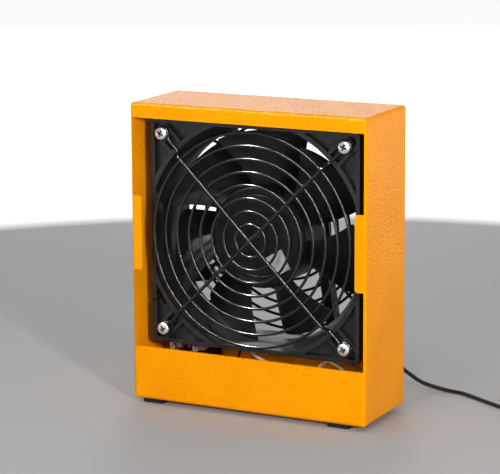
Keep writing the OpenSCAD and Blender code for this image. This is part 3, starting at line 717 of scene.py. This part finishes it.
def blade_loop(r, chord=34):
    """A blade's section at a radius: rounded edges, a thicker root, rounded corners at the tip."""
    t0, t1, z0, z1 = chord_at(r)
    length = math.hypot(math.radians(t0 - t1) * r, z0 - z1)
    over = max(0.0, r - (TIP_R - TIP_CORNER))
    inset = (TIP_CORNER - math.sqrt(max(0.0, TIP_CORNER ** 2 - over ** 2))) / length
    root = max(0.0, 1 - (r - HUB_R) / 2.0)
    out = []
    for side, order in ((-1, range(chord + 1)), (1, range(chord, -1, -1))):
        for j in order:
            t = 0.5 - 0.5 * math.cos(math.pi * j / chord)
            t = inset + (1 - 2 * inset) * t
            bow = t + BOW * t * (t - 1)
            turn = math.radians(t0 + (t1 - t0) * t)
            z = z0 + (z1 - z0) * bow
            slope = math.atan2((z0 - z1) * (1 + BOW * (2 * t - 1)), math.radians(t0 - t1) * r)
            round_ = math.sqrt(max(0.0, 1 - (2 * (t - inset) / (1 - 2 * inset) - 1) ** 6))
            thick = EDGE * (0.12 + 0.88 * round_) / 2 * (1 + 1.2 * root * root)
            shift = -side * thick * math.sin(slope) / r
            out.append(Vector((r * math.cos(turn + shift), r * math.sin(turn + shift),
                               z + side * thick * math.cos(slope))))
    return out


def impeller():
    """Seven blades on a hub with two shallow grooves and a dimple in its face."""
    at, f = Vector((0, FAN_BACK, AXIS_Z)), TO_FRONT
    shell = Shell()
    radii = [HUB_R - 0.8, HUB_R + 0.3, HUB_R + 0.8, HUB_R + 1.4, HUB_R + 2.2]
    radii += list(np.linspace(HUB_R + 4, TIP_R - 2.4, 12))
    radii += [TIP_R - 1.8, TIP_R - 1.2, TIP_R - 0.7, TIP_R - 0.3, TIP_R]
    loops = [blade_loop(r) for r in radii]
    for k in range(BLADES):
        rot = Matrix.Rotation(2 * math.pi * k / BLADES, 3, "Z")
        shell.loops([[at + f @ (rot @ p) for p in loop] for loop in loops])
    top = HUB_Z
    profile = [(24.0, SKIRT_Z), (HUB_R - 0.4, SKIRT_Z), (HUB_R, SKIRT_Z + 0.4)]
    profile += arc(HUB_R - 2.0, top - 2.0, 2.0, 0, 90, 8)
    for step_r in (23.6, 20.6):
        profile += [(step_r, top), (step_r - 0.25, top - 0.28), (step_r - 0.75, top - 0.28),
                    (step_r - 1.0, top)]
    profile += [(5.2, top), (5.0, top - 0.3), (3.0, top - 0.45), (0.9, top - 0.45), (0.6, top - 0.15),
                (0.0, top - 0.1)]
    profile += [(0.0, 31.0), (24.0, 31.0), (24.0, SKIRT_Z)]
    shell.lathe(profile, at, f, 144)
    piece = shell.object("fan_rotor", M["blade"], "rotor", 35)
    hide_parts("impeller")


impeller()


# ------------------------------------------------------------------ screws

def screw_mesh(name, shank_r, length, head_r, head_h):
    """A pan-head screw with a cross recess and a rolled thread, its head standing on z = 0."""
    dome_r = 2.2 * head_r
    profile = [(0.0, -length - 0.8 * shank_r), (0.4 * shank_r, -length - 0.8 * shank_r)]
    pitch, core = 0.7, shank_r * 0.86
    turns = int((length - 1.0) / pitch)
    for i in range(turns):
        z = -length + i * pitch
        profile += [(core, z), (shank_r, z + 0.3), (shank_r, z + 0.4), (core, z + 0.62)]
    profile += [(shank_r * 0.95, -0.6), (shank_r * 0.95, 0.0), (head_r - 0.1, 0.0)]
    rim = head_h - dome_r + math.sqrt(dome_r ** 2 - head_r ** 2)
    profile += arc(head_r - 0.3, rim - 0.35, 0.3, -20, 45, 4)
    a0 = math.degrees(math.acos((head_r - 0.35) / dome_r))
    profile += arc(0, head_h - dome_r, dome_r, a0, 90, 10)
    head = Shell().lathe(profile, steps=72).object(name + "_blank", M["screw"], None, 30)
    w, reach, depth = 0.19 * head_r, 0.64 * head_r, 1.5
    cross = [(w, w), (w, reach), (-w, reach), (-w, w), (-reach, w), (-reach, -w), (-w, -w), (-w, -reach),
             (w, -reach), (w, -w), (reach, -w), (reach, w)]
    cutter = Shell()
    cutter.loops([[(x * k, y * k, z) for x, y in cross]
                  for z, k in ((head_h - depth - 0.3, 0.12), (head_h - depth, 0.42), (head_h + 0.3, 1.06))])
    tool = cutter.object(name + "_cross", M["recess"], None, 30)
    mod = head.modifiers.new("cross", "BOOLEAN")
    mod.operation = "DIFFERENCE"
    mod.object = tool
    mod.solver = "EXACT"
    # The cut faces take the cutter's near-black material, the painted shade inside the cross.
    mod.material_mode = "TRANSFER"
    graph = bpy.context.evaluated_depsgraph_get()
    mesh = bpy.data.meshes.new_from_object(head.evaluated_get(graph))
    for obj in (head, tool):
        bpy.data.objects.remove(obj)
    mesh.name = name
    return mesh


def screws(name, mesh, places, frame_, node):
    """Copies of one screw, each turned a little differently, joined into one piece."""
    shell = Shell()
    verts = [v.co / MM for v in mesh.vertices]
    faces = [tuple(p.vertices) for p in mesh.polygons]
    # faces in the near-black recess material, the painted shade in each cross
    dark = [1 if mesh.materials[p.material_index] == M["recess"] else 0 for p in mesh.polygons]
    for k, at in enumerate(places):
        rot = Matrix.Rotation(math.radians(20 + 47 * k), 3, "Z")
        shell.add([Vector(at) + frame_ @ (rot @ v) for v in verts], faces, dark)
    piece = shell.object(name, [M["screw"], M["recess"]], "housing", 30)
    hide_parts(node)


def corners_at(y):
    """The places of the fan's four mounting holes, at a depth."""
    return [(sx * PITCH / 2, y, AXIS_Z + sz * PITCH / 2) for sx in (-1, 1) for sz in (-1, 1)]


SMALL_HEAD_R = 2.7
big = screw_mesh("guard_screw", 1.9, 12.0, 3.3, 2.2)
small = screw_mesh("panel_screw", 1.4, 5.0, SMALL_HEAD_R, 1.8)
screws("front_screws", big, corners_at(FAN_FRONT - SPOKE_D), TO_FRONT, "front_guard_screws")
screws("rear_screws", big, corners_at(BACK_Y), TO_BACK, "rear_guard_screws")
PANEL_X = (corner("panel_screws", 1).x - corner("panel_screws", 0).x) / 2 - SMALL_HEAD_R
screws("back_screws", small,
       [(sx * PANEL_X, BACK_Y, z) for sx in (-1, 1)
        for z in (corner("panel_screws", 0).z + SMALL_HEAD_R, corner("panel_screws", 1).z - SMALL_HEAD_R)],
       TO_BACK, "panel_screws")


# ------------------------------------------------------------------ edges of the CAD nodes

# radius, segments and least angle
EDGES = {
    "housing_shell": (0.22, 3, 50), "back_panel": (0.2, 2, 50), "fan_frame": (0.3, 2, 50),
    "rubber_feet": (0.5, 3, 50), "switch_body": (0.35, 3, 50), "switch_rocker": (0.4, 3, 40),
    "spade_connectors": (0.25, 2, 50), "switch_terminals": (0.15, 2, 50),
    "board_components": (0.15, 2, 50),
}
for node, (width, segments, angle) in EDGES.items():
    ease(NODES[node], width, segments, angle)


# ------------------------------------------------------------------ details of the fan frame


def ejector_marks():
    """Shallow round marks that the moulding pins leave in the frame's corner pockets."""
    shell = Shell()
    profile = [(0, 0.06), (2.1, 0.06), (2.25, 0.22), (2.45, 0.22), (2.6, -0.1)]
    for face, f, y in ((1, TO_FRONT, FAN_FRONT), (-1, TO_BACK, FAN_BACK)):
        for sx in (-1, 1):
            for sz in (-1, 1):
                at = Vector((sx * 42.0, y + face * 3.0, AXIS_Z + sz * 54.6))
                shell.lathe(profile, at, f, 40)
    piece = shell.object("frame_pin_marks", M["fan"], "housing", 30)


ejector_marks()


STRUT_DIP = 9  # degrees that the cable's strut dips below the horizontal on its way to the left


def channel_web():
    """The closed outer end of the cable's channel between the struts, with its low side wall."""
    outline = [(17.3, 61.2), (17.3, 47.6), (19.5, 45.8), (22.4, 45.2), (24.1, 43.6), (24.1, 18.6),
               (25.6, 17.2), (25.6, 58.2), (22, 60)]
    low, high = 0.5, 4.7
    turn = TO_FRONT @ Matrix.Rotation(math.radians(STRUT_DIP - 90), 3, "Z")
    at = Vector((0, FAN_BACK, AXIS_Z))
    verts = [at + turn @ Vector((off, -along, z)) for z in (low, high) for off, along in outline]
    n = len(outline)
    faces = [tuple(range(n)), tuple(range(2 * n - 1, n - 1, -1))]
    faces += [(k, n + k, n + (k + 1) % n, (k + 1) % n) for k in range(n)]
    piece = make("channel_web", verts, faces, M["fan"], "housing", 30)
    ease(piece, 0.3, 2, 30)


channel_web()


# ------------------------------------------------------------------ wires inside

WIRE_D, CABLE_D = 1.4, 2.0
WHITE = [
    (-14, -2.2, 34), (-11, -2.2, 29.8), (-6.6, -2.2, 26.1), (-2, -2.2, 24.2), (4, -1.5, 20.5),
    (10, -0.2, 18), (22, 1.8, 19), (30, 0.8, 25), (35.5, -2.2, 28), (40.3, -2.2, 26.6),
    (44.1, -2.2, 24.4), (48, 0, 20), (50, 3, 15), (49, 6, 10), (45, 8, 7.5),
]
BLACK = [
    (-18, 3, 34), (-18.5, 3.4, 30), (-20, 4, 24), (-24, 4, 17), (-30, 3, 13), (-36, 0, 12),
    (-41, -3, 15), (-43, -4, 19.2), (-43, -3, 23), (-43, 0.5, 26.2),
]
RED = [
    (50, 19, 21), (50, 14, 20), (47, 6, 15), (38, 2, 7.5), (15, -2, 5.5), (-20, -4, 5.5),
    (-45, -7, 7), (-56, -7.5, 14), (-57, -5, 20), (-57, -3, 23.5), (-57, 0.5, 26.2),
]
NEUTRAL = [
    (50.9, 19, 21), (51, 15, 20.5), (51.5, 11, 16), (51, 9, 11), (48.5, 8.4, 8), (45, 8.6, 7.2),
]
CABLE = [
    (-14.2, -13.4, 6.4), (-18, -15.6, 6.4), (-25, -18, 6.4), (-32, -19.6, 6.4), (-37.5, -21.6, 6.4),
    (-41, -24.6, 6.4), (-45.5, -27.6, 6.4), (-53.7, -31.5, 6.4),
]


def inner_wire(name, route, diameter, look, node):
    """A wire along its route."""
    piece = Shell().tube(smooth_line(route, 0.8), diameter / 2, 14).object(name, M[look], "housing", 60)
    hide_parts(node)


inner_wire("white_lead", WHITE, WIRE_D, "white_wire", "fan_lead_white")
inner_wire("black_lead", BLACK, WIRE_D, "black_wire", "fan_lead_black")
inner_wire("red_feed", RED, WIRE_D, "red_wire", "feed_wire_red")
inner_wire("black_feed", NEUTRAL, WIRE_D, "black_wire", "feed_wire_black")
inner_wire("strut_cable", [Vector((0, FAN_BACK, AXIS_Z)) + TO_FRONT @ Vector(p) for p in CABLE],
           CABLE_D, "black_wire", "motor_cable")


# ------------------------------------------------------------------ windings

def windings():
    """Four coils of round wire, two layers deep, round the necks of the stator."""
    at, f = Vector((0, FAN_BACK, AXIS_Z)), TO_FRONT
    shell = Shell()
    wire, start, turns, steps = 0.5, 10.8, 10, 28
    middle, squareness = 17, 0.28
    for k in range(4):
        rot = Matrix.Rotation(math.pi / 2 * k, 3, "Z")
        for layer, (w, h) in enumerate(((3.85, 6.25), (4.4, 6.8))):
            line = []
            for i in range(turns * steps + 1):
                a = 2 * math.pi * i / steps
                u = math.copysign(abs(math.cos(a)) ** squareness, math.cos(a)) * w
                v = math.copysign(abs(math.sin(a)) ** squareness, math.sin(a)) * h
                out = start + layer * wire / 2 + wire * i / steps
                line.append(at + f @ (rot @ Vector((out, u, middle + v))))
            shell.tube(line, wire / 2, 8)
    piece = shell.object("wound_coils", M["copper"], "housing", 60, weld=False)
    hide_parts("stator_windings")


windings()


# ------------------------------------------------------------------ rocker marks

ROCKER_HALF, ROCKER_DIP = 7.4, 2.9
ROCKER_TILT = math.radians(10)


def rocker_marks():
    """A raised bar and a ring, the usual marks for on and off."""
    half, dip, tilt = ROCKER_HALF, ROCKER_DIP, ROCKER_TILT
    rise = dip + half * math.tan(tilt)
    pin = Vector((SWITCH_X, BACK_Y - 1, SWITCH_Z))
    turn = Matrix.Rotation(tilt, 3, "Z")
    shell = Shell()
    slope = math.atan2(rise - dip, half)
    for side in (-1, 1):
        mid = Vector((side * half * 0.55, dip + (rise - dip) * 0.55, 0))
        along = Vector((math.cos(slope), side * math.sin(slope), 0))
        out = Vector((-side * math.sin(slope), math.cos(slope), 0))
        f = Matrix((along, Vector((0, 0, 1)), out)).transposed()
        if side < 0:
            shell.lathe([(1.25, -0.1), (1.25, 0.12), (1.35, 0.18), (1.65, 0.18), (1.75, 0.12), (1.75, -0.1)],
                        pin + turn @ mid, turn @ f, 48)
        else:
            bar = []
            for z, k in ((-0.1, 1.0), (0.12, 1.0), (0.18, 0.8)):
                bar.append([pin + turn @ (mid + f @ Vector((u * k, v, z))) for u, v in
                            ((-0.25, -1.7), (0.25, -1.7), (0.25, 1.7), (-0.25, 1.7))])
            shell.loops(bar)
    piece = shell.object("rocker_marks", M["mark"], "rocker", 30)


rocker_marks()


# ------------------------------------------------------------------ stage

FLOOR_EDGE = (0.50, 0.54)  # where the grey floor fades to white, in metres from the middle
FLOOR_HALF = 4000


def stage():
    """A grey floor that fades to white and glows towards its edge, so that it reads as a white backdrop, and
    a pale world.
    """
    m, t, s = nodes_of("floor")
    away = t.nodes.new("ShaderNodeVectorMath")
    away.operation = "LENGTH"
    t.links.new(coords(t), away.inputs[0])
    far = span(t, away.outputs["Value"], 0.0, 1.0, *FLOOR_EDGE)
    t.links.new(ramp(t, far, [(0.0, (0.44, 0.44, 0.44)), (1.0, (0.90, 0.90, 0.90))]), s.inputs["Base Color"])
    # the far floor gives off light, up to a strength of 0.6, so that it reads as a white backdrop
    t.links.new(span(t, far, 0.0, 0.6), s.inputs["Emission Strength"])
    s.inputs["Emission Color"].default_value = (1, 1, 1, 1)
    s.inputs["Roughness"].default_value = 0.7
    s.inputs["Specular IOR Level"].default_value = 0.1
    square = [(x * FLOOR_HALF, y * FLOOR_HALF, 0) for x, y in ((-1, -1), (1, -1), (1, 1), (-1, 1))]
    floor = make("floor", square, [(0, 1, 2, 3)], m, None)
    world = bpy.data.worlds.new("studio")
    world.use_nodes = True
    sky = world.node_tree.nodes["Background"]
    sky.inputs["Color"].default_value = (1, 1, 1, 1)
    sky.inputs["Strength"].default_value = 0.36
    bpy.context.scene.world = world
    bpy.context.scene.view_settings.view_transform = "Standard"


def area(name, at, target, size, power, along=(1, 0, 0), use="both", only=()):
    """A soft light at a place, turned to its target, with its width along a direction.

    It lights both colour and gloss, or one of them, and only the pieces whose names start as given.
    """
    data = bpy.data.lights.new(name, "AREA")
    data.shape = "RECTANGLE"
    data.size, data.size_y = size
    data.energy = power
    obj = bpy.data.objects.new(name, data)
    bpy.context.scene.collection.objects.link(obj)
    out = (Vector(at) - Vector(target)).normalized()
    wide = (Vector(along) - out * out.dot(Vector(along))).normalized()
    turn = Matrix((wide, out.cross(wide), out)).transposed().to_4x4()
    obj.matrix_world = Matrix.Translation(at) @ turn
    obj.visible_camera = False
    obj.visible_diffuse = use != "gloss"
    obj.visible_glossy = use != "colour"
    if only:
        lit = bpy.data.collections.new(name + "_receivers")
        for piece in bpy.context.scene.objects:
            if piece.name.startswith(only):
                lit.objects.link(piece)
        obj.light_linking.receiver_collection = lit


stage()
area("key", (0.92, -0.80, 0.40), (0, 0, 0.09), (0.12, 0.12), 9.4, use="colour")
area("high", (0.30, -0.66, 1.05), (0, 0, 0.09), (0.14, 0.14), 1.1)
area("fill", (-0.1, -1.05, 0.40), (0, 0, 0.09), (0.5, 0.2), 3.5, use="colour")
area("top", (-0.1, 0.1, 1.3), (0, 0, 0.1), (0.5, 0.5), 1.25)
area("rear", (-0.55, 1.25, 0.70), (0, 0, 0.09), (0.4, 0.4), 4.0, use="colour")
area("back", (-0.75, 1.48, 0.60), (0, 0, 0.15), (0.9, 0.5), 3.6)
area("strip", (0.42, -0.90, 0.66), (0, 0, 0.10), (1.5, 0.05), 38.0, (-1.05, -0.05, 0.9), "gloss",
     ("front_guard", "rear_guard", "front_screws", "rear_screws", "back_screws"))
area("glint", (-0.53, -0.54, 1.12), (0, 0, 0.12), (0.06, 0.06), 75.0, use="gloss")
